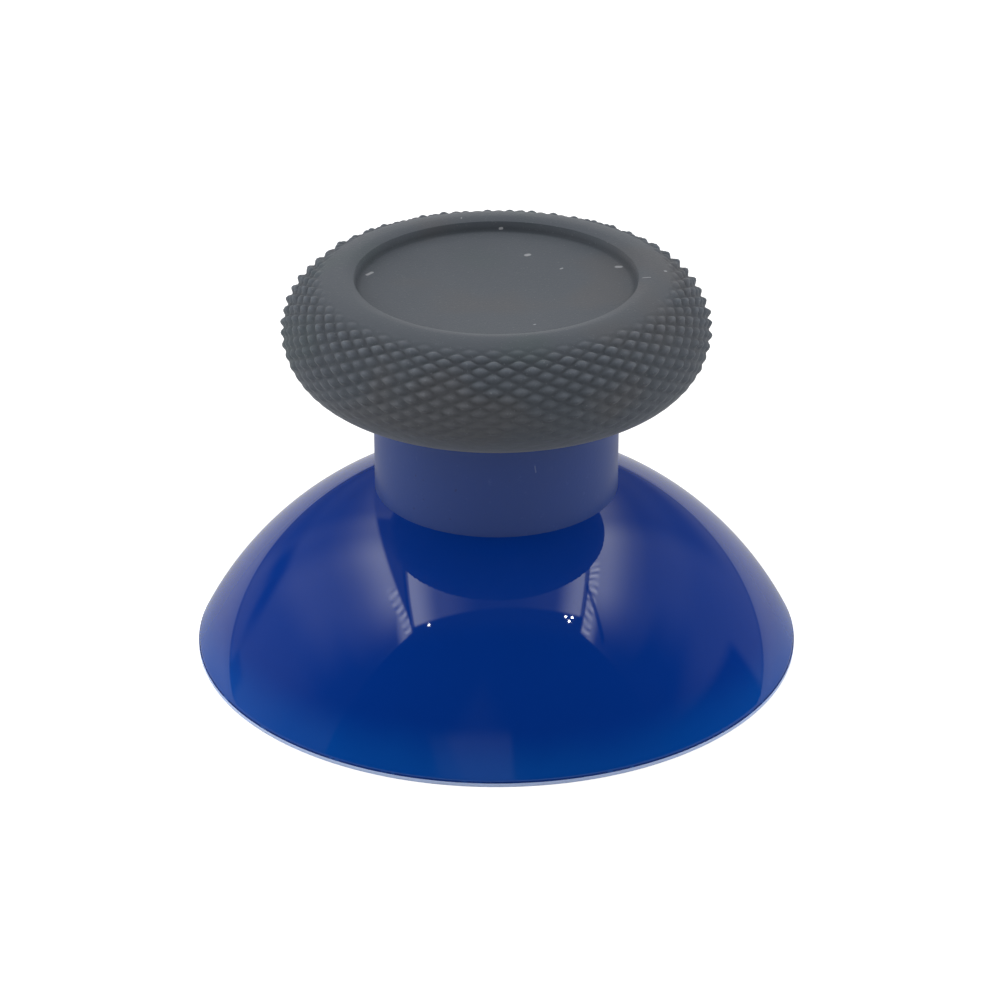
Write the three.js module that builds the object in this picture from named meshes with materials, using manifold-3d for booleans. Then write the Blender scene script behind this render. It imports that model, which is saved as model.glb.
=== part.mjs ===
// Thumb grip for a game controller's stick, in millimetres, +Z up.
// It stands on the rim of its skirt. The origin is the centre of that rim, and Z is the grip's axis.
// Two mouldings: a hard blue body (skirt, socket post, neck and a head that the cap hides),
// and a soft dark grey cap, moulded over the head, with a knurled rim and a dished thumb rest.

import * as THREE from 'three';
import { mergeVertices } from 'three/addons/utils/BufferGeometryUtils.js';
import Module from 'manifold-3d';

// Skirt: a hollow dome, open below
const SKIRT_RADIUS = 11;
const SKIRT_ARC_RADIUS = 13;
const SKIRT_WALL = 1;
const RIM_BAND = 0.15;

// Neck and hidden head
const NECK_RADIUS = 4.41;
const NECK_FOOT = 6.23;
const HEAD_RADIUS = 6.2;
const HEAD_BOTTOM = 11.1;
const HEAD_TOP = 12.75;
const HEAD_CHAMFER = 0.3;

// Socket post inside the skirt, with a double-D socket for the stick's shaft
const POST_RADIUS = 3.2;
const POST_BOTTOM = 0.8;
const POST_ROOT_FILLET = 0.6;
const SOCKET_DIAMETER = 4;
const SOCKET_ACROSS_FLATS = 3;
const SOCKET_DEPTH = 5.6;
const SOCKET_LEAD_IN = 0.35;

// Cap: the rim's section is two quarter ellipses that meet at its widest point
const CAP_RADIUS = 7.58;
const CAP_WIDEST = 12.37;
const CAP_CROWN = 14.41;
const CAP_UNDERSIDE = 10.3;
const CAP_SHOULDER = 2.19;
const CAP_UNDERCUT = 2.09;
const CAP_FIT_GAP = 0.04;

// Thumb rest: a low wall round a shallow dish
const REST_RADIUS = 5.03;
const REST_WALL_TOP = 14.33;
const REST_WALL_FOOT = 14.0;
const REST_WALL_DRAFT = 0.07;
const DISH_DEPTH = 0.2;

// Knurl: pointed diamonds in interleaved rows round the rim
const DIAMONDS_PER_ROW = 50;
const RIM_ROWS = 27;
const KNURL_FIRST_ROW = 4;
const KNURL_LAST_ROW = 18;
const KNURL_TIP = 0.09;
const KNURL_VALLEY = -0.07;
const KNURL_FADE_ROWS = 2.5;

// Fineness of the round surfaces
const BODY_COLUMNS = 64;
const CAP_COLUMNS = 2 * DIAMONDS_PER_ROW;
const SKIRT_STEPS = 9;
const DISH_STEPS = 4;
const FILLET_STEPS = 3;
const SOCKET_ARC_STEPS = 8;

const BODY_MATERIAL = new THREE.MeshStandardMaterial({ color: 0x03246a, roughness: 0.18, metalness: 0 });
const CAP_MATERIAL = new THREE.MeshStandardMaterial({ color: 0x4a4e54, roughness: 0.75, metalness: 0 });

const point = (r, z) => new THREE.Vector2(r, z);

// The centre of the arc of the given radius that bulges up and out between two points of a section.
function arcCentre(lower, upper, radius) {
  const middle = lower.clone().add(upper).multiplyScalar(0.5);
  const chord = upper.clone().sub(lower);
  const drop = Math.sqrt(radius ** 2 - chord.lengthSq() / 4);
  const inward = point(-chord.y, chord.x).normalize();
  return middle.add(inward.multiplyScalar(drop));
}

// Points on an arc round a centre, from one angle to another, both ends included.
function arcPoints(centre, radius, from, to, steps) {
  return new THREE.EllipseCurve(centre.x, centre.y, radius, radius, from, to, to < from).getPoints(steps);
}

function angleAt(centre, radius, { r, z }) {
  return r === undefined ? Math.asin((z - centre.y) / radius) : Math.acos((r - centre.x) / radius);
}

// A closed mesh with shared vertices, without the empty triangles that a lathe leaves on its axis.
function welded(geometry) {
  const bare = geometry.clone();
  bare.deleteAttribute('normal');
  bare.deleteAttribute('uv');
  const merged = mergeVertices(bare, 1e-4);
  const corners = [];
  const index = merged.index.array;
  for (let i = 0; i < index.length; i += 3) {
    const [a, b, c] = index.slice(i, i + 3);
    if (a !== b && b !== c && c !== a) {
      corners.push(a, b, c);
    }
  }
  merged.setIndex(corners);
  return merged;
}

// A section of (radius, height) points, from the top of the piece down its outside, turned round Z.
// The lathe's faces point out when its section runs upwards.
function turned(section, columns) {
  return new THREE.LatheGeometry([...section].reverse(), columns).rotateX(Math.PI / 2);
}

// Skirt, neck and head in one section, from the top of the head down to the end of the socket post.
function bodySection() {
  const neckFoot = point(NECK_RADIUS, NECK_FOOT);
  const rimTop = point(SKIRT_RADIUS, RIM_BAND);
  const centre = arcCentre(rimTop, neckFoot, SKIRT_ARC_RADIUS);
  const outside = arcPoints(
    centre,
    SKIRT_ARC_RADIUS,
    angleAt(centre, SKIRT_ARC_RADIUS, { r: NECK_RADIUS }),
    angleAt(centre, SKIRT_ARC_RADIUS, { z: RIM_BAND }),
    SKIRT_STEPS,
  );
  const innerRadius = SKIRT_ARC_RADIUS - SKIRT_WALL;
  const ceiling = arcPoints(
    centre,
    innerRadius,
    angleAt(centre, innerRadius, { z: 0 }),
    angleAt(centre, innerRadius, { r: POST_RADIUS + POST_ROOT_FILLET }),
    SKIRT_STEPS - 1,
  );
  const ceilingEnd = ceiling[ceiling.length - 1];
  const filletCentre = point(POST_RADIUS + POST_ROOT_FILLET, ceilingEnd.y - POST_ROOT_FILLET);
  const fillet = arcPoints(filletCentre, POST_ROOT_FILLET, Math.PI / 2, Math.PI, FILLET_STEPS);
  return [
    point(0, HEAD_TOP),
    point(HEAD_RADIUS - HEAD_CHAMFER, HEAD_TOP),
    point(HEAD_RADIUS, HEAD_TOP - HEAD_CHAMFER),
    point(HEAD_RADIUS, HEAD_BOTTOM),
    point(NECK_RADIUS, HEAD_BOTTOM),
    ...outside,
    point(SKIRT_RADIUS, 0),
    ...ceiling,
    ...fillet.slice(1),
    point(POST_RADIUS, POST_BOTTOM),
    point(0, POST_BOTTOM),
  ];
}

// The socket's outline: a circle with two flats.
function socketOutline() {
  const radius = SOCKET_DIAMETER / 2;
  const flat = Math.asin(SOCKET_ACROSS_FLATS / SOCKET_DIAMETER);
  const outline = new THREE.Shape();
  outline.absarc(0, 0, radius, -flat, flat, false);
  outline.absarc(0, 0, radius, Math.PI - flat, Math.PI + flat, false);
  outline.closePath();
  return outline;
}

// The socket's space and the cone that leads the shaft into it, both starting just below the post.
function socketCutters() {
  const start = POST_BOTTOM - SOCKET_LEAD_IN;
  const socket = new THREE.ExtrudeGeometry(socketOutline(), {
    depth: SOCKET_DEPTH + SOCKET_LEAD_IN,
    bevelEnabled: false,
    curveSegments: SOCKET_ARC_STEPS,
  }).translate(0, 0, start);
  const narrow = SOCKET_DIAMETER / 2;
  const cone = turned([
    point(0, POST_BOTTOM + SOCKET_LEAD_IN),
    point(narrow, POST_BOTTOM + SOCKET_LEAD_IN),
    point(narrow + 2 * SOCKET_LEAD_IN, start),
    point(0, start),
  ], BODY_COLUMNS / 2);
  return [socket, cone];
}

// The knurl's height above the rim's section: tips and valleys alternate, and both fade out at the ends.
function knurlHeight(row, column) {
  const fromEnd = Math.min(row - KNURL_FIRST_ROW, KNURL_LAST_ROW - row) + 1;
  const strength = THREE.MathUtils.clamp(fromEnd / KNURL_FADE_ROWS, 0, 1);
  return strength * ((row + column) % 2 === 0 ? KNURL_TIP : KNURL_VALLEY);
}

// The rim's section from the crown round to the underside, in rows half a diamond apart.
function rimRows() {
  const shoulder = new THREE.EllipseCurve(
    CAP_RADIUS - CAP_SHOULDER, CAP_WIDEST, CAP_SHOULDER, CAP_CROWN - CAP_WIDEST, Math.PI / 2, 0, true,
  );
  const undercut = new THREE.EllipseCurve(
    CAP_RADIUS - CAP_UNDERCUT, CAP_WIDEST, CAP_UNDERCUT, CAP_WIDEST - CAP_UNDERSIDE, 0, -Math.PI / 2, true,
  );
  const rim = new THREE.CurvePath();
  rim.add(shoulder);
  rim.add(undercut);
  return rim.getSpacedPoints(RIM_ROWS);
}

// The cap's section, from the middle of the dish over the rim and through the neck's hole
// to the roof of the space that holds the head.
function capSection() {
  const restWallFoot = REST_RADIUS - REST_WALL_DRAFT;
  const dishRadius = (restWallFoot ** 2 + DISH_DEPTH ** 2) / (2 * DISH_DEPTH);
  const dish = arcPoints(
    point(0, REST_WALL_FOOT - DISH_DEPTH + dishRadius),
    dishRadius,
    -Math.PI / 2,
    -Math.PI / 2 + Math.asin(restWallFoot / dishRadius),
    DISH_STEPS,
  );
  const bore = NECK_RADIUS + CAP_FIT_GAP;
  const space = HEAD_RADIUS + CAP_FIT_GAP;
  return {
    before: [...dish, point(REST_RADIUS, REST_WALL_TOP)],
    rim: rimRows(),
    after: [
      point(bore, CAP_UNDERSIDE),
      point(bore, HEAD_BOTTOM),
      point(space, HEAD_BOTTOM),
      point(space, HEAD_TOP - HEAD_CHAMFER),
      point(space - HEAD_CHAMFER, HEAD_TOP),
      point(0, HEAD_TOP),
    ],
  };
}

// Turns the cap's section, lifts the knurl's tips along the rim's normals, and splits each
// four-sided patch between its two valleys, so that every tip stands on a clean diamond.
function capGeometry() {
  const { before, rim, after } = capSection();
  const section = [...before, ...rim, ...after];
  const geometry = new THREE.LatheGeometry(section, CAP_COLUMNS).rotateX(Math.PI / 2);
  const position = geometry.attributes.position;
  const vertex = new THREE.Vector3();
  const corners = [];
  for (let column = 0; column <= CAP_COLUMNS; column += 1) {
    for (let row = 1; row < rim.length - 1; row += 1) {
      const along = rim[row + 1].clone().sub(rim[row - 1]).normalize();
      const height = knurlHeight(row, column % CAP_COLUMNS);
      const i = column * section.length + before.length + row;
      vertex.fromBufferAttribute(position, i);
      const r = rim[row].x;
      vertex.x += (vertex.x / r) * -along.y * height;
      vertex.y += (vertex.y / r) * -along.y * height;
      vertex.z += along.x * height;
      position.setXYZ(i, vertex.x, vertex.y, vertex.z);
    }
  }
  for (let column = 0; column < CAP_COLUMNS; column += 1) {
    for (let k = 0; k + 1 < section.length; k += 1) {
      const here = column * section.length + k;
      const next = here + section.length;
      const tipHere = (k - before.length + column) % 2 === 0;
      if (tipHere) {
        corners.push(here, here + 1, next, here + 1, next + 1, next);
      } else {
        corners.push(here, here + 1, next + 1, here, next + 1, next);
      }
    }
  }
  geometry.setIndex(corners);
  return welded(geometry);
}

const wasm = await Module();
wasm.setup();

function toSolid(geometry) {
  const mesh = new wasm.Mesh({
    numProp: 3,
    vertProperties: new Float32Array(geometry.attributes.position.array),
    triVerts: new Uint32Array(geometry.index.array),
  });
  return new wasm.Manifold(mesh);
}

function toGeometry(solid) {
  const mesh = solid.getMesh();
  const geometry = new THREE.BufferGeometry();
  geometry.setAttribute('position', new THREE.BufferAttribute(mesh.vertProperties, mesh.numProp));
  geometry.setIndex(new THREE.BufferAttribute(mesh.triVerts, 1));
  return geometry;
}

function bodyGeometry() {
  const blank = toSolid(welded(turned(bodySection(), BODY_COLUMNS)));
  const cutters = socketCutters().map((cutter) => toSolid(welded(cutter)));
  return toGeometry(cutters.reduce((solid, cutter) => solid.subtract(cutter), blank));
}

function namedMesh(name, geometry, material) {
  const mesh = new THREE.Mesh(geometry, material);
  mesh.name = name;
  return mesh;
}

const thumbGrip = new THREE.Group();
thumbGrip.add(namedMesh('stem_body', bodyGeometry(), BODY_MATERIAL));
thumbGrip.add(namedMesh('rubber_cap', capGeometry(), CAP_MATERIAL));

export default thumbGrip;
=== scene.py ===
"""Thumb grip for a game controller's stick: a glossy blue skirt and satin neck, and a knurled rubber cap.

Both mouldings replace their solids with finer meshes of the same sections. Sizes are in millimetres
and are turned into metres when a mesh is made. Node trees work in metres.
"""

import math

import bpy
import numpy as np
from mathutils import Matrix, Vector


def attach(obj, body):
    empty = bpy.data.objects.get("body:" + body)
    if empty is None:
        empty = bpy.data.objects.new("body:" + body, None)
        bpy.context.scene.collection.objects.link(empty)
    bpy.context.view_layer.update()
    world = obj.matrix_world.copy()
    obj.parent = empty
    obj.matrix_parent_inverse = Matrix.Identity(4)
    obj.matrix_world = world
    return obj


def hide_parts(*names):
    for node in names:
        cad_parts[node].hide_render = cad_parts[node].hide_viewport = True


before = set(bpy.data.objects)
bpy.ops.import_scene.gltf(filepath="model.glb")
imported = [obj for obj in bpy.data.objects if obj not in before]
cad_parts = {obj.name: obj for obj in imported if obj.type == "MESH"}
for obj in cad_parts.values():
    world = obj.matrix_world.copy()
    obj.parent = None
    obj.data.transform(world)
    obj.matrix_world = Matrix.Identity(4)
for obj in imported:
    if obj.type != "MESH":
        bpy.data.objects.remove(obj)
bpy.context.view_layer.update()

MM = 0.001
SHARP_ANGLE = 50.0

# Skirt, neck and socket post
SKIRT_RADIUS = 11.0
SKIRT_ARC_RADIUS = 13.0
SKIRT_WALL = 1.0
RIM_BAND = 0.15
RIM_BEVEL = 0.02
RIM_GROOVE = 0.055
RIM_GROOVE_DEPTH = 0.035
RIM_GROOVE_TOP_DEPTH = 0.03
NECK_RADIUS = 4.41
NECK_FOOT = 6.23
HEAD_RADIUS = 6.2
HEAD_BOTTOM = 11.1
HEAD_TOP = 12.75
HEAD_CHAMFER = 0.3
POST_RADIUS = 3.2
POST_BOTTOM = 0.8
POST_ROOT_FILLET = 0.6
SOCKET_DIAMETER = 4.0
SOCKET_ACROSS_FLATS = 3.0
SOCKET_DEPTH = 5.6
SOCKET_LEAD_IN = 0.35
BODY_COLUMNS = 256
FINISH_MARGIN = 0.1

# Cap
CAP_RADIUS = 7.58
CAP_WIDEST = 12.37
CAP_CROWN = 14.41
CAP_UNDERSIDE = 10.3
CAP_SHOULDER = 2.19
CAP_UNDERCUT = 2.09
CAP_FIT_GAP = 0.01
REST_RADIUS = 5.03
REST_WALL_TOP = 14.33
REST_WALL_FOOT = 14.0
REST_WALL_DRAFT = 0.07
DISH_DEPTH = 0.2
DISH_INNER_RING = 0.3
DISH_RINGS = 8

# Knurl, with its places down the rim counted from the crown in half rows of diamonds
DIAMONDS_PER_ROW = 50
RIM_HALF_ROWS = 27
KNURL_START = 3.0
KNURL_START_FADE = 2.4
KNURL_END = 22.0
KNURL_END_FADE = 10.0
KNURL_END_EASE = 1.7
KNURL_HEIGHT = 0.2
KNURL_SINK = 0.066
KNURL_SHARPNESS = 1.35
KNURL_UNEVENNESS = 0.45
KNURL_TURN = math.radians(-0.7)
STEPS_PER_DIAMOND = 12
CAP_COLUMNS = DIAMONDS_PER_ROW * STEPS_PER_DIAMOND

# Painted light on the knurl: how much lighter the diamonds' tips are painted as a highlight and how much
# darker their grooves as painted shade, and where that fades out
TIP_PAINTED_LIGHT = 0.9
GROOVE_PAINTED_SHADE = -0.22
PAINTED_LIGHT_END = 16.0
PAINTED_LIGHT_END_FADE = 9.0

# Rings of the cap's mesh off the knurl
CROWN_STEP = 0.4
UNDERSIDE_RINGS = 5

# Camera, as fitted to the photograph
CAMERA_ELEVATION = math.radians(26.91)
CAMERA_DISTANCE = 126.19
CAMERA_AIM = (0.13, 0.0, 5.467)
CAMERA_LENS = 124.82


# Sections: points of (radius, height), in millimetres


def arc(centre, radius, start, end, steps):
    angles = np.linspace(start, end, steps + 1)
    return np.stack([centre[0] + radius * np.cos(angles), centre[1] + radius * np.sin(angles)], 1)


def skirt_centre():
    """The centre of the skirt's outer arc, from the top of the rim's band to the neck's foot."""
    low, high = np.array([SKIRT_RADIUS, RIM_BAND]), np.array([NECK_RADIUS, NECK_FOOT])
    chord = high - low
    length = np.hypot(*chord)
    inward = np.array([-chord[1], chord[0]]) / length
    return (low + high) / 2 + inward * math.sqrt(SKIRT_ARC_RADIUS**2 - length**2 / 4)


def body_section():
    """The hard body's section from the head's top to the post's end, as stretches of points."""
    cx, cz = centre = skirt_centre()
    inner = SKIRT_ARC_RADIUS - SKIRT_WALL
    outside = arc(
        centre,
        SKIRT_ARC_RADIUS,
        math.acos((NECK_RADIUS - cx) / SKIRT_ARC_RADIUS),
        math.asin((RIM_BAND - cz) / SKIRT_ARC_RADIUS),
        64,
    )
    root = POST_RADIUS + POST_ROOT_FILLET
    ceiling = arc(centre, inner, math.asin(-cz / inner), math.acos((root - cx) / inner), 40)
    fillet = arc((root, ceiling[-1][1] - POST_ROOT_FILLET), POST_ROOT_FILLET, math.pi / 2, math.pi, 8)
    return np.vstack([
        [(0.0, HEAD_TOP), (HEAD_RADIUS - HEAD_CHAMFER, HEAD_TOP), (HEAD_RADIUS, HEAD_TOP - HEAD_CHAMFER)],
        [(HEAD_RADIUS, HEAD_BOTTOM), (NECK_RADIUS, HEAD_BOTTOM)],
        outside[outside[:, 1] > RIM_BAND + RIM_GROOVE],
        [(SKIRT_RADIUS - RIM_GROOVE_TOP_DEPTH, RIM_BAND + RIM_GROOVE)],
        [(SKIRT_RADIUS - RIM_GROOVE_DEPTH, RIM_BAND + RIM_GROOVE / 2)],
        [(SKIRT_RADIUS, RIM_BAND)],
        [(SKIRT_RADIUS, RIM_BEVEL)],
        [(SKIRT_RADIUS - RIM_BEVEL, 0.0)],
        ceiling,
        fillet[1:],
        [(POST_RADIUS, POST_BOTTOM), (SOCKET_DIAMETER / 2 + SOCKET_LEAD_IN, POST_BOTTOM)],
        [(SOCKET_DIAMETER / 2, POST_BOTTOM + SOCKET_LEAD_IN)],
    ])


def rim_point(half_rows):
    """Points on the cap's rim, by distance from the crown counted in half rows of diamonds."""
    quarter = np.linspace(0, math.pi / 2, 400)
    shoulder = np.stack([
        CAP_RADIUS - CAP_SHOULDER + CAP_SHOULDER * np.sin(quarter),
        CAP_WIDEST + (CAP_CROWN - CAP_WIDEST) * np.cos(quarter),
    ], 1)
    undercut = np.stack([
        CAP_RADIUS - CAP_UNDERCUT + CAP_UNDERCUT * np.cos(quarter),
        CAP_WIDEST - (CAP_WIDEST - CAP_UNDERSIDE) * np.sin(quarter),
    ], 1)
    path = np.vstack([shoulder, undercut[1:]])
    run = np.concatenate([[0], np.cumsum(np.hypot(*np.diff(path, axis=0).T))])
    at = np.asarray(half_rows) / RIM_HALF_ROWS * run[-1]
    return np.stack([np.interp(at, run, path[:, 0]), np.interp(at, run, path[:, 1])], 1)


# Meshes


def mesh_piece(name, rings, start_pole=None, end_pole=None, painted_light=None):
    """A closed mesh from rings of points, each ring with the same number of points, in millimetres.

    The last argument, where it is given, says for each point how much its colour is lightened by painted
    highlight and darkened by painted shade.
    """
    rings = np.asarray(rings)
    count, columns = rings.shape[:2]
    vertices = rings.reshape(-1, 3).tolist()
    column = np.arange(columns)
    following = (column + 1) % columns
    faces = []
    for ring in range(count - 1):
        here, below = ring * columns, (ring + 1) * columns
        faces += np.stack([here + column, below + column, below + following, here + following], 1).tolist()
    if start_pole is not None:
        vertices.append((0.0, 0.0, start_pole))
        faces += [(len(vertices) - 1, int(c), int(n)) for c, n in zip(column, following)]
    if end_pole is not None:
        last = (count - 1) * columns
        vertices.append((0.0, 0.0, end_pole))
        faces += [(len(vertices) - 1, int(last + n), int(last + c)) for c, n in zip(column, following)]
    mesh = bpy.data.meshes.new(name)
    mesh.from_pydata((np.array(vertices) * MM).tolist(), [], faces)
    mesh.polygons.foreach_set("use_smooth", [True] * len(mesh.polygons))
    mesh.set_sharp_from_angle(angle=math.radians(SHARP_ANGLE))
    if painted_light is not None:
        values = np.zeros(len(vertices))
        values[:painted_light.size] = painted_light.ravel()
        mesh.attributes.new("painted_light", "FLOAT", "POINT").data.foreach_set("value", values)
    mesh.update()
    piece = bpy.data.objects.new(name, mesh)
    bpy.context.collection.objects.link(piece)
    return piece


def turned_rings(section, columns, turn=0.0):
    angles = np.linspace(0, 2 * math.pi, columns, endpoint=False) + turn
    r, z = section[:, 0, None], section[:, 1, None]
    return np.stack([r * np.cos(angles), r * np.sin(angles), z + 0 * angles], 2)


def make_stem():
    section = body_section()
    rings = turned_rings(section[1:], BODY_COLUMNS)
    angles = np.linspace(0, 2 * math.pi, BODY_COLUMNS, endpoint=False)
    flat = SOCKET_ACROSS_FLATS / 2 / np.maximum(np.abs(np.sin(angles)), 1e-6)
    outline = np.minimum(SOCKET_DIAMETER / 2, flat)
    socket = [
        np.stack([outline * np.cos(angles), outline * np.sin(angles), np.full(BODY_COLUMNS, z)], 1)
        for z in (POST_BOTTOM + SOCKET_LEAD_IN + 0.01, POST_BOTTOM + SOCKET_DEPTH)
    ]
    rings = np.concatenate([rings, socket])
    return mesh_piece("blue_stem", rings, HEAD_TOP, POST_BOTTOM + SOCKET_DEPTH)


def knurl(half_rows, columns):
    """Height of rounded diamonds between crossing grooves, and how much their tips are lightened by
    painted highlight and their grooves darkened by painted shade, faded out at both ends.
    """
    across = columns / STEPS_PER_DIAMOND
    along = half_rows / 2
    rising, falling = across + along, across - along
    bump = np.abs(np.sin(rising * math.pi) * np.sin(falling * math.pi)) ** KNURL_SHARPNESS
    place = np.floor(rising + 1e-6).astype(int), np.floor(falling + 1e-6).astype(int)
    uneven = np.random.default_rng(7).uniform(1 - KNURL_UNEVENNESS, 1, (DIAMONDS_PER_ROW, 64))
    diamond = uneven[place[0] % DIAMONDS_PER_ROW, (place[0] - place[1]) % 64]
    bump = bump * diamond
    start = np.clip((half_rows - KNURL_START) / KNURL_START_FADE, 0, 1)
    fade = start * np.clip((KNURL_END - half_rows) / KNURL_END_FADE, 0, 1) ** KNURL_END_EASE
    # Painted highlight on the tips and painted shade in the grooves, faded out at both ends
    painted_lit_shaded = start * np.clip((PAINTED_LIGHT_END - half_rows) / PAINTED_LIGHT_END_FADE, 0, 1)
    return fade * (bump * KNURL_HEIGHT - KNURL_SINK), painted_lit_shaded * (bump * TIP_PAINTED_LIGHT + GROOVE_PAINTED_SHADE)


def rest_section():
    """The thumb rest's section: the dish, the rounded foot of its low wall, and the wall's top edge."""
    wall_foot = REST_RADIUS - REST_WALL_DRAFT
    dish_radius = (wall_foot**2 + DISH_DEPTH**2) / (2 * DISH_DEPTH)
    dish_r = np.linspace(DISH_INNER_RING, wall_foot - 0.12, DISH_RINGS)
    dish_z = REST_WALL_FOOT - DISH_DEPTH + dish_radius - np.sqrt(dish_radius**2 - dish_r**2)
    wall = [
        (wall_foot - 0.03, REST_WALL_FOOT + 0.01),
        (wall_foot + 0.01, REST_WALL_FOOT + 0.06),
        (REST_RADIUS, REST_WALL_TOP),
        (REST_RADIUS + 0.14, REST_WALL_TOP + 0.05),
    ]
    return np.vstack([np.stack([dish_r, dish_z], 1), wall])


def inside_section():
    """The section of the space in the cap that the neck and the head fill, from the underside up."""
    bore, space = NECK_RADIUS + CAP_FIT_GAP, HEAD_RADIUS + CAP_FIT_GAP
    return np.array([
        (bore, CAP_UNDERSIDE),
        (bore, HEAD_BOTTOM),
        (space, HEAD_BOTTOM),
        (space, HEAD_TOP - HEAD_CHAMFER),
        (space - HEAD_CHAMFER, HEAD_TOP),
    ])


def make_cap():
    fine = 2 / STEPS_PER_DIAMOND
    marks = np.concatenate([
        np.arange(0, KNURL_START, CROWN_STEP),
        np.arange(math.floor(KNURL_START / fine) * fine, KNURL_END, fine),
        np.linspace(KNURL_END + CROWN_STEP, RIM_HALF_ROWS, UNDERSIDE_RINGS),
    ])
    rim = rim_point(marks)
    ahead, behind = rim_point(marks + 0.05), rim_point(np.maximum(marks - 0.05, 0))
    along = ahead - behind
    normal = np.stack([-along[:, 1], along[:, 0]], 1) / np.hypot(*along.T)[:, None]
    normal[0], normal[-1] = (0, 1), (0, -1)
    columns = np.arange(CAP_COLUMNS)
    height, shade = knurl(marks[:, None], columns[None])
    angles = columns / CAP_COLUMNS * 2 * math.pi + KNURL_TURN
    r = rim[:, 0, None] + normal[:, 0, None] * height
    z = rim[:, 1, None] + normal[:, 1, None] * height
    rim_rings = np.stack([r * np.cos(angles), r * np.sin(angles), z], 2)
    top = rest_section()
    rings = np.concatenate([
        turned_rings(top, CAP_COLUMNS, KNURL_TURN),
        rim_rings,
        turned_rings(inside_section(), CAP_COLUMNS, KNURL_TURN),
    ])
    # Painted highlight on the diamonds' tips and painted shade in their grooves, stored on the mesh for
    # the rubber's colour
    painted_light = np.zeros(rings.shape[:2])
    painted_light[len(top):len(top) + len(marks)] = shade
    return mesh_piece("rubber_grip", rings, REST_WALL_FOOT - DISH_DEPTH, HEAD_TOP, painted_light)


# Materials and the world

# Lint and dust on the rubber: where each speck starts and ends, and its radius, in millimetres
DUST = (
    ((1.09, 2.93, 13.88), (1.16, 2.96, 13.88), 0.12),
    ((4.31, 1.64, 13.96), (4.43, 1.62, 13.97), 0.11),
    ((-4.59, 0.9, 13.97), (-4.42, 1.14, 13.96), 0.08),
    ((0.13, 4.98, 14.07), (0.2, 4.98, 14.08), 0.06),
    ((5.96, 0.4, 14.33), (6.0, 0.43, 14.33), 0.06),
    ((-1.3, 4.95, 14.3), (-1.28, 5.2, 14.39), 0.04),
    ((2.3, 1.7, 13.86), (2.36, 1.76, 13.86), 0.05),
    ((1.31, -3.26, 13.89), (1.34, -3.24, 13.89), 0.05),
    ((5.02, -0.27, 14.38), (5.42, -0.33, 14.41), 0.03),
)
# A short light fibre on the neck
FIBRE = ((1.35, -4.2, 8.91), (1.38, -4.19, 8.68), 0.03)


class Value:
    """A number that a node tree works out, reckoned with as a plain number is."""

    def __init__(self, nodes, socket):
        self.nodes = nodes
        self.socket = socket

    def __add__(self, other):
        return self.nodes.math("ADD", self, other)

    def __sub__(self, other):
        return self.nodes.math("SUBTRACT", self, other)

    def __mul__(self, other):
        return self.nodes.math("MULTIPLY", self, other)

    def __truediv__(self, other):
        return self.nodes.math("DIVIDE", self, other)

    def __rsub__(self, other):
        return self.nodes.math("SUBTRACT", other, self)

    __radd__ = __add__
    __rmul__ = __mul__


class Nodes:
    """Short calls for building a node tree."""

    def __init__(self, owner):
        owner.use_nodes = True
        self.tree = owner.node_tree
        self.tree.nodes.clear()

    def add(self, kind, values=(), **settings):
        node = self.tree.nodes.new(kind)
        for key, value in settings.items():
            setattr(node, key, value)
        for key, value in dict(values).items():
            self.set(node.inputs[key], value)
        return node

    def set(self, socket, value):
        if isinstance(value, Value):
            value = value.socket
        if isinstance(value, bpy.types.NodeSocket):
            self.tree.links.new(value, socket)
        else:
            socket.default_value = value

    def math(self, operation, *values):
        node = self.add("ShaderNodeMath", operation=operation)
        for socket, value in zip(node.inputs, values):
            self.set(socket, value)
        return Value(self, node.outputs[0])

    def larger(self, a, b):
        return self.math("MAXIMUM", a, b)

    def smaller(self, a, b):
        return self.math("MINIMUM", a, b)

    def size(self, value):
        return self.math("ABSOLUTE", value)

    def step(self, value, low, high):
        """0 at low, 1 at high, smooth between; high may be the smaller of the two."""
        node = self.add(
            "ShaderNodeMapRange",
            {"Value": value, "From Min": low, "From Max": high},
            interpolation_type="SMOOTHSTEP",
        )
        return Value(self, node.outputs["Result"])

    def band(self, value, middle, half_width):
        """1 at the middle, 0 a half width away from it."""
        return self.step(self.size(value - middle), half_width, half_width * 0.4)

    def blend(self, factor, a, b):
        return a + (b - a) * factor

    def mix(self, factor, a, b):
        node = self.add("ShaderNodeMix", data_type="RGBA")
        for index, value in ((0, factor), (6, a), (7, b)):
            self.set(node.inputs[index], value)
        return node.outputs[2]

    def noise(self, vector, scale, detail=3.0, roughness=0.5):
        node = self.add(
            "ShaderNodeTexNoise",
            {"Vector": vector, "Scale": scale, "Detail": detail, "Roughness": roughness},
        )
        return Value(self, node.outputs["Fac"])

    def vector(self, operation, *values):
        node = self.add("ShaderNodeVectorMath", operation=operation)
        for socket, value in zip(node.inputs, values):
            self.set(socket, value)
        return node.outputs

    def stroke(self, place, start, end, radius):
        """1 on a short stroke from start to end in millimetres, 0 a radius away from it."""
        a, b = Vector(start) * MM, Vector(end) * MM
        along = b - a
        from_start = self.vector("SUBTRACT", place, a)["Vector"]
        share = Value(self, self.vector("DOT_PRODUCT", from_start, along / along.length_squared)["Value"])
        share = self.smaller(self.larger(share, 0.0), 1.0)
        spread = self.add("ShaderNodeVectorMath", {"Vector": along, "Scale": share}, operation="SCALE")
        gap = Value(self, self.vector("DISTANCE", from_start, spread.outputs["Vector"])["Value"])
        return self.step(gap, radius * MM, radius * MM * 0.5)

    def split(self, vector):
        node = self.add("ShaderNodeSeparateXYZ", {"Vector": vector})
        return [Value(self, socket) for socket in node.outputs]

    def place(self):
        return self.add("ShaderNodeTexCoord").outputs["Object"]


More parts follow.
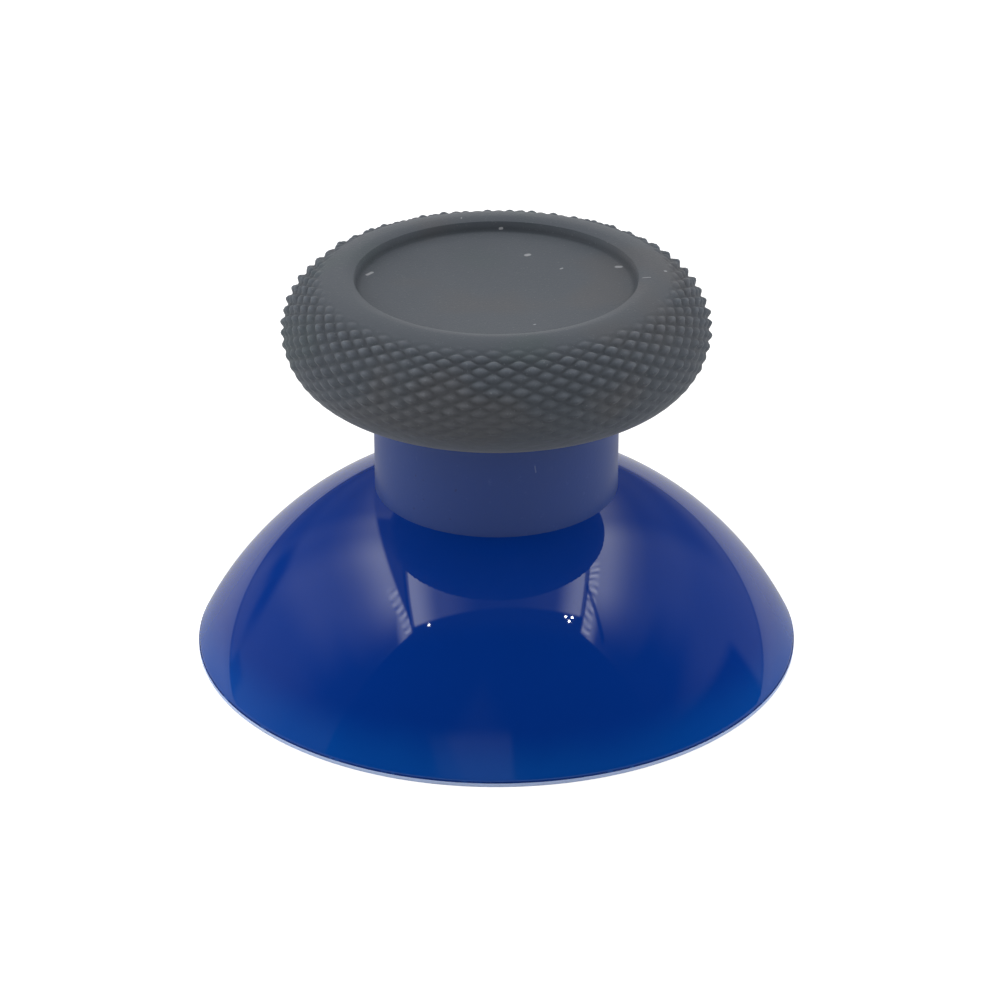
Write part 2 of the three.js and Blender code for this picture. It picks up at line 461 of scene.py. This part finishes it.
def finish_material(name, build):
    material = bpy.data.materials.new(name)
    nodes = Nodes(material)
    shader = build(nodes)
    output = nodes.add("ShaderNodeOutputMaterial")
    nodes.tree.links.new(shader.outputs[0], output.inputs["Surface"])
    return material


def glossy_blue(nodes):
    """Deep blue gloss, painted lighter towards the rim, where the skirt is thinnest: painted light in
    place of the light that the edge lets through.
    """
    place = nodes.place()
    cloud = nodes.noise(place, 260.0)
    z = nodes.split(place)[2]
    deep = nodes.mix(cloud, (0.0005, 0.03, 0.234, 1), (0.0007, 0.034, 0.262, 1))
    # Painted light: a lighter blue towards the rim, standing in for light through the skirt's edge
    rim_painted_light = (0.0015, 0.06, 0.33, 1)
    colour = nodes.mix(nodes.step(z + (cloud - 0.5) * 0.0008, 0.0019, 0.0002), deep, rim_painted_light)
    rough = nodes.add("ShaderNodeMapRange", {"Value": cloud, "To Min": 0.018, "To Max": 0.035})
    return nodes.add("ShaderNodeBsdfPrincipled", {
        "Base Color": colour,
        "Roughness": rough.outputs["Result"],
        "IOR": 1.5,
    })


def flash_blue(nodes):
    """The dark, slightly nicked mould line just over the rim's pale edge."""
    place = nodes.place()
    nick = nodes.step(nodes.noise(place, 2600.0, 2.0), 0.6, 0.7)
    colour = nodes.mix(nick, (0.0008, 0.032, 0.2, 1), (0.012, 0.085, 0.34, 1))
    return nodes.add("ShaderNodeBsdfPrincipled", {
        "Base Color": colour,
        "Roughness": 0.6,
        "IOR": 1.5,
        "Specular IOR Level": 0.15,
    })


def satin_blue(nodes):
    """The neck's finer finish: a faint gloss towards its sides, small dark pits and one light fibre."""
    place = nodes.place()
    grain = nodes.noise(place, 9000.0, 2.0)
    cloud = nodes.noise(place, 400.0)
    colour = nodes.mix(cloud, (0.0035, 0.0375, 0.215, 1), (0.005, 0.042, 0.24, 1))
    pits = nodes.step(nodes.noise(place, 5200.0, 1.0), 0.73, 0.8)
    colour = nodes.mix(pits * 0.6, colour, (0.002, 0.018, 0.13, 1))
    scuffs = nodes.step(nodes.noise(place, 2700.0, 3.0, 0.7), 0.6, 0.8)
    colour = nodes.mix(scuffs * 0.4, colour, (0.04, 0.085, 0.33, 1))
    colour = nodes.mix(nodes.stroke(place, *FIBRE) * 0.5, colour, (0.12, 0.17, 0.36, 1))
    rough = nodes.add("ShaderNodeMapRange", {"Value": cloud, "To Min": 0.48, "To Max": 0.55})
    bump = nodes.add("ShaderNodeBump", {"Strength": 0.15, "Distance": 0.00002, "Height": grain})
    return nodes.add("ShaderNodeBsdfPrincipled", {
        "Base Color": colour,
        "Roughness": rough.outputs["Result"],
        "IOR": 1.5,
        "Coat Weight": 0.33,
        "Coat Roughness": 0.17,
        "Normal": bump.outputs["Normal"],
    })


def painted_rim_reflection(nodes):
    """The band that the skirt stands on, painted pale blue as a painted reflection of the pale floor."""
    place = nodes.place()
    cloud = nodes.noise(place, 900.0)
    colour = nodes.mix(cloud, (0.5, 0.63, 1.0, 1), (0.62, 0.74, 1.0, 1))
    return nodes.add("ShaderNodeBsdfPrincipled", {"Base Color": colour, "Roughness": 0.6, "IOR": 1.5})


def grey_rubber(nodes):
    """Dull dark rubber: a fine grain, faint stains, painted shade round the foot of the dish's wall,
    painted highlight and shade on the knurl, painted light on the underside, and dust on top.
    """
    place = nodes.place()
    cloud = nodes.noise(place, 350.0, 4.0)
    stain = nodes.noise(place, 170.0, 2.0)
    grain = nodes.noise(place, 14000.0, 3.0, 0.6)
    base = nodes.mix(cloud, (0.078, 0.09, 0.108, 1), (0.096, 0.108, 0.125, 1))
    base = nodes.mix(nodes.step(stain, 0.54, 0.64) * 0.6, base, (0.099, 0.1, 0.107, 1))
    base = nodes.mix(nodes.step(stain, 0.44, 0.34) * 0.6, base, (0.076, 0.098, 0.104, 1))
    colour = nodes.mix(nodes.step(grain, 0.62, 0.74), base, (0.15, 0.165, 0.182, 1))
    # The knurl's painted highlight on its tips and painted shade in its grooves lighten and darken the
    # colour
    painted_light = Value(nodes, nodes.add("ShaderNodeAttribute", attribute_name="painted_light").outputs["Fac"])
    painted_lit_shaded = nodes.add("ShaderNodeVectorMath", {"Vector": colour, "Scale": painted_light + 1.0}, operation="SCALE")
    colour = painted_lit_shaded.outputs["Vector"]
    x, y, z = nodes.split(place)
    reach = nodes.math("SQRT", x * x + y * y)
    # Painted shade: darker round the dish's low wall, most at its foot
    crease_painted_shade = nodes.step(nodes.size(reach - REST_RADIUS * MM), 0.0003, 0.0001)
    crease_painted_shade = crease_painted_shade * nodes.step(z, REST_WALL_TOP * MM, REST_WALL_FOOT * MM)
    colour = nodes.mix(crease_painted_shade * 0.45, colour, (0.02, 0.026, 0.034, 1))
    # Painted light: the underside lighter, and its flat ring lighter still, in place of light thrown up
    # from the floor
    under = nodes.step(z, (CAP_UNDERSIDE + 1.5) * MM, (CAP_UNDERSIDE + 0.3) * MM)
    colour = nodes.mix(under, colour, (0.14, 0.156, 0.177, 1))
    flat = nodes.step(z, (CAP_UNDERSIDE + 0.06) * MM, (CAP_UNDERSIDE + 0.02) * MM)
    colour = nodes.mix(flat, colour, (0.2, 0.205, 0.21, 1))
    lint = 0.0
    for speck in DUST:
        lint = nodes.larger(nodes.stroke(place, *speck), lint)
    colour = nodes.mix(lint * 0.75, colour, (0.42, 0.43, 0.45, 1))
    rough = nodes.add("ShaderNodeMapRange", {"Value": cloud, "To Min": 0.5, "To Max": 0.62})
    bump = nodes.add("ShaderNodeBump", {"Strength": 0.6, "Distance": 0.00002, "Height": grain})
    return nodes.add("ShaderNodeBsdfPrincipled", {
        "Base Color": colour,
        "Roughness": rough.outputs["Result"],
        "IOR": 1.45,
        "Specular IOR Level": 0.15,
        "Sheen Weight": 0.15,
        "Sheen Roughness": 0.4,
        "Normal": bump.outputs["Normal"],
    })


# Light, floor and camera

# The light tent round the object, as its gloss shows it. Heights on its side walls and depths along
# them are in half widths of the tent, levels are radiances where 1 is white.
ROOF_SEAM = 1.95
FRONT_EDGE = 2.14
FLOOR_SEAM = 0.035
FLOOR_LEVEL = 0.55

# The floor: its grey, and how far it is lifted towards white for the camera and in reflections
FLOOR_GREY = 0.5
FLOOR_LIFT = 0.78
FLOOR_MIRRORED_LIFT = 0.11

# The plain light that falls on the object, by where it comes from
LIGHT_ABOVE = 0.6
LIGHT_LEFT = 3.8
LIGHT_RIGHT = 3.1
LIGHT_BACK = 0.7


def tent_walls(nodes, x, height, depth):
    """The side walls: brighter towards the roof, gathered below its seam, dim at the open front."""
    left = nodes.step(x, 0.01, -0.01)
    right = 1.0 - left
    # Brighter towards the roof
    lean = height + (0.04 + 0.2 * left) * nodes.step(depth, 0.0, 1.1)
    level = 0.24 + nodes.step(lean, 0.5, 0.75) * (0.1 + 0.19 * left)
    level = level + nodes.step(lean, 0.95, 1.3) * 0.5 + nodes.step(lean, 1.15, 1.65) * 1.75
    # Dim at the open front and at the far end
    reach = depth - 0.05 * right - nodes.band(height, 0.72, 0.27) * (0.12 + 0.12 * right)
    front_dim = nodes.larger(nodes.step(reach, -0.45, 0.2), nodes.step(height, 1.5, 1.72) * 0.85)
    front_dim = nodes.larger(front_dim, nodes.step(height, 0.65, 0.35) * left * 0.5)
    rear_dim = nodes.step(depth - 0.3 * right, 0.62, 1.1) * nodes.step(height, 0.1, 0.4)
    level = level * (0.08 + 0.92 * front_dim) * (1.0 - 0.55 * rear_dim)
    level = level * (1.0 - 0.5 * nodes.step(depth, 1.2, 1.6) * left)
    level = level * (1.0 - gathers(nodes, height, depth, left))
    # On the left wall, a dark fold under the roof, and a soft shade and a fleck low down
    seam = height + 0.36 * depth
    fold = nodes.step(seam, 1.75, 1.83) * nodes.step(depth, -0.5, -0.35) * left
    level = level * (1.0 - fold * (0.5 + 0.42 * nodes.step(depth, 1.45, 1.3)))
    streak = height - 0.35 + 0.45 * nodes.larger(0.95 - depth, 0.0)
    shade = nodes.step(nodes.size(streak), 0.14, 0.02) * nodes.step(depth, 0.5, 0.8)
    shade = shade * nodes.step(depth, 1.45, 1.1)
    fleck = nodes.step(nodes.size(height - 0.08), 0.07, 0.02)
    fleck = fleck * nodes.step(nodes.size(depth - 0.5), 0.16, 0.06)
    level = level * (1.0 - nodes.larger(shade * 0.78, fleck * 0.7) * left)
    # On the right wall, a dark diagonal line, and a dark screen low at the front
    diagonal = nodes.band(height - 0.977 * depth, 1.757, 0.07) * nodes.step(height, 1.38, 1.42) * right
    level = level * (1.0 - 0.8 * diagonal)
    screen = nodes.step(height + 0.15 * depth, 0.4, 0.32) * nodes.step(depth, 0.5, 0.4) * right
    return level * (1.0 - 0.9 * screen)


def gathers(nodes, height, depth, left):
    """How much darker the small gathers make the walls' cloth just below the roof's seam."""
    ripple = nodes.math("SINE", depth * 62.0 + 2.2 * nodes.math("SINE", height * 9.0 + depth * 5.0))
    patchy = 0.65 + 0.35 * nodes.math("SINE", depth * 23.0 + height * 17.0)
    near = nodes.band(height + 0.36 * depth * left, 1.8 - 0.1 * left, 0.15)
    near = near * nodes.step(depth, 0.65 - 0.4 * left, 0.5 - 0.4 * left)
    return near * (-0.35 - 0.75 * ripple * patchy)


def tent_level(nodes, x, y, z):
    """How bright the tent is in a direction, as the gloss mirrors it."""
    side = nodes.larger(nodes.size(x), 0.001)
    front = nodes.larger(y * -1.0, 0.001)
    above = nodes.larger(z, 0.001)
    left = nodes.step(x, 0.01, -0.01)
    height = z / side
    depth = y / side
    spread = side / above
    roof = 0.15 + nodes.step(spread, 0.08, 0.33) * (0.15 + 0.45 * left)
    roof = roof + nodes.step(spread, 0.32, 0.48) * 2.6
    inside = nodes.blend(nodes.step(height, ROOF_SEAM - 0.02, ROOF_SEAM + 0.02),
                         tent_walls(nodes, x, height, depth), roof)
    inside = inside * (1.0 - 0.8 * nodes.band(height, ROOF_SEAM, 0.08))
    roofed = nodes.step((y - 0.075 * x) / above, -0.185, -0.158)
    roofed = roofed * nodes.step(height, ROOF_SEAM - 0.05, ROOF_SEAM)
    walled = nodes.step(side / front, FRONT_EDGE - 0.08, FRONT_EDGE + 0.04)
    walled = walled * nodes.step(height, ROOF_SEAM, ROOF_SEAM - 0.05)
    tent = nodes.blend(nodes.larger(roofed, walled), tent_opening(nodes, x / front, z / front), inside)
    tent = tent * (1.0 - 0.3 * nodes.band(z, FLOOR_SEAM + 0.006, 0.012))
    return nodes.blend(nodes.step(z, FLOOR_SEAM, FLOOR_SEAM - 0.008), tent, FLOOR_LEVEL)


def tent_opening(nodes, across, up):
    """The dark room beyond the open front, with one pale patch low in it."""
    slant = across + 0.5 * (up - 0.66)
    patch = 0.5 * nodes.step(slant, -0.52, -0.43) + 0.5 * nodes.step(slant, -0.36, -0.28)
    patch = patch * nodes.step(across, 0.14, 0.08) * nodes.step(up, 0.88, 0.7)
    taper = nodes.step(nodes.size(across + 0.14) + up * 0.3, 0.55, 0.3)
    return 0.012 + 0.045 * nodes.step(up, 2.4, 4.5) + patch * 0.17 + taper * 0.05


def make_world():
    """A white light tent with an open, dark front. The camera sees white round it."""
    world = bpy.data.worlds.new("tent")
    world.cycles.sampling_method = "NONE"
    bpy.context.scene.world = world
    nodes = Nodes(world)
    x, y, z = nodes.split(nodes.add("ShaderNodeTexCoord").outputs["Generated"])
    plain = LIGHT_BACK * nodes.larger(y, 0.0)
    for level, towards in ((LIGHT_ABOVE, z), (LIGHT_LEFT, x * -1.0), (LIGHT_RIGHT, x)):
        facing = nodes.larger(towards, 0.0)
        plain = plain + level * facing * facing * facing
    path = nodes.add("ShaderNodeLightPath")
    glossy = Value(nodes, path.outputs["Is Glossy Ray"])
    strength = nodes.blend(glossy, plain, tent_level(nodes, x, y, z))
    white = nodes.larger(
        Value(nodes, path.outputs["Is Camera Ray"]),
        Value(nodes, path.outputs["Is Transmission Ray"]),
    )
    strength = nodes.blend(white, strength, 1.0)
    background = nodes.add("ShaderNodeBackground", {"Color": (1, 1, 1, 1), "Strength": strength})
    output = nodes.add("ShaderNodeOutputWorld")
    nodes.tree.links.new(background.outputs[0], output.inputs["Surface"])


def make_lamp(name, azimuth, elevation, distance=0.4, radius=0.0028, level=60.0):
    """A small lamp that only the gloss shows, at degrees of azimuth from the camera and of elevation."""
    data = bpy.data.lights.new(name, "POINT")
    data.shadow_soft_size = radius
    data.energy = level * math.pi * 4 * math.pi * radius**2
    lamp = bpy.data.objects.new(name, data)
    a, e = math.radians(azimuth), math.radians(elevation)
    lamp.location = Vector((math.sin(a) * math.cos(e), -math.cos(a) * math.cos(e), math.sin(e))) * distance
    lamp.visible_diffuse = False
    bpy.context.collection.objects.link(lamp)


def make_floor():
    half = 2.0
    mesh = bpy.data.meshes.new("floor")
    corners = [(-half, -half, 0), (half, -half, 0), (half, half, 0), (-half, half, 0)]
    mesh.from_pydata(corners, [], [(0, 1, 2, 3)])
    floor = bpy.data.objects.new("floor", mesh)
    bpy.context.collection.objects.link(floor)
    material = bpy.data.materials.new("pale_floor")
    nodes = Nodes(material)
    diffuse = nodes.add("ShaderNodeBsdfDiffuse", {"Color": (FLOOR_GREY, FLOOR_GREY, FLOOR_GREY, 1)})
    path = nodes.add("ShaderNodeLightPath")
    direct = Value(nodes, path.outputs["Is Camera Ray"])
    through = Value(nodes, path.outputs["Is Transmission Ray"])
    mirrored = Value(nodes, path.outputs["Is Glossy Ray"])
    strength = nodes.larger(direct, through) * FLOOR_LIFT + mirrored * FLOOR_MIRRORED_LIFT
    lift = nodes.add("ShaderNodeEmission", {"Color": (1, 1, 1, 1), "Strength": strength})
    both = nodes.add("ShaderNodeAddShader")
    nodes.tree.links.new(diffuse.outputs[0], both.inputs[0])
    nodes.tree.links.new(lift.outputs[0], both.inputs[1])
    output = nodes.add("ShaderNodeOutputMaterial")
    nodes.tree.links.new(both.outputs[0], output.inputs["Surface"])
    mesh.materials.append(material)


def make_camera():
    data = bpy.data.cameras.new("camera")
    data.sensor_width = 36.0
    data.lens = CAMERA_LENS
    data.clip_start = 0.01
    data.clip_end = 10.0
    camera = bpy.data.objects.new("camera", data)
    bpy.context.collection.objects.link(camera)
    back = Vector((0, -math.cos(CAMERA_ELEVATION), math.sin(CAMERA_ELEVATION)))
    camera.location = (Vector(CAMERA_AIM) + back * CAMERA_DISTANCE) * MM
    camera.rotation_euler = (-back).to_track_quat("-Z", "Y").to_euler()
    bpy.context.scene.camera = camera


make_camera()
make_world()
make_floor()
make_lamp("lamp_left", -59.1, 64.7)
make_lamp("lamp_right_a", 65.8, 65.9)
make_lamp("lamp_right_b", 68.5, 64.1)
make_lamp("lamp_right_c", 64.5, 64.2)

stem = make_stem()
cap = make_cap()

for name, build in (
    ("glossy_blue_plastic", glossy_blue),
    ("satin_blue_plastic", satin_blue),
    ("rim_painted_reflection", painted_rim_reflection),
    ("mould_line", flash_blue),
):
    stem.data.materials.append(finish_material(name, build))
for face in stem.data.polygons:
    middle = face.center / MM
    radius = math.hypot(middle.x, middle.y)
    if middle.z > NECK_FOOT and radius > NECK_RADIUS - FINISH_MARGIN:
        face.material_index = 1
    # The band the skirt stands on takes the painted reflection of the floor
    elif middle.z < RIM_BAND and radius > SKIRT_RADIUS - FINISH_MARGIN:
        face.material_index = 2
    elif middle.z < RIM_BAND + RIM_GROOVE and radius > SKIRT_RADIUS - FINISH_MARGIN:
        face.material_index = 3
cap.data.materials.append(finish_material("grey_rubber", grey_rubber))

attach(stem, "root")
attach(cap, "root")
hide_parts("stem_body")
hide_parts("rubber_cap")

scene = bpy.context.scene
scene.view_settings.view_transform = "Standard"
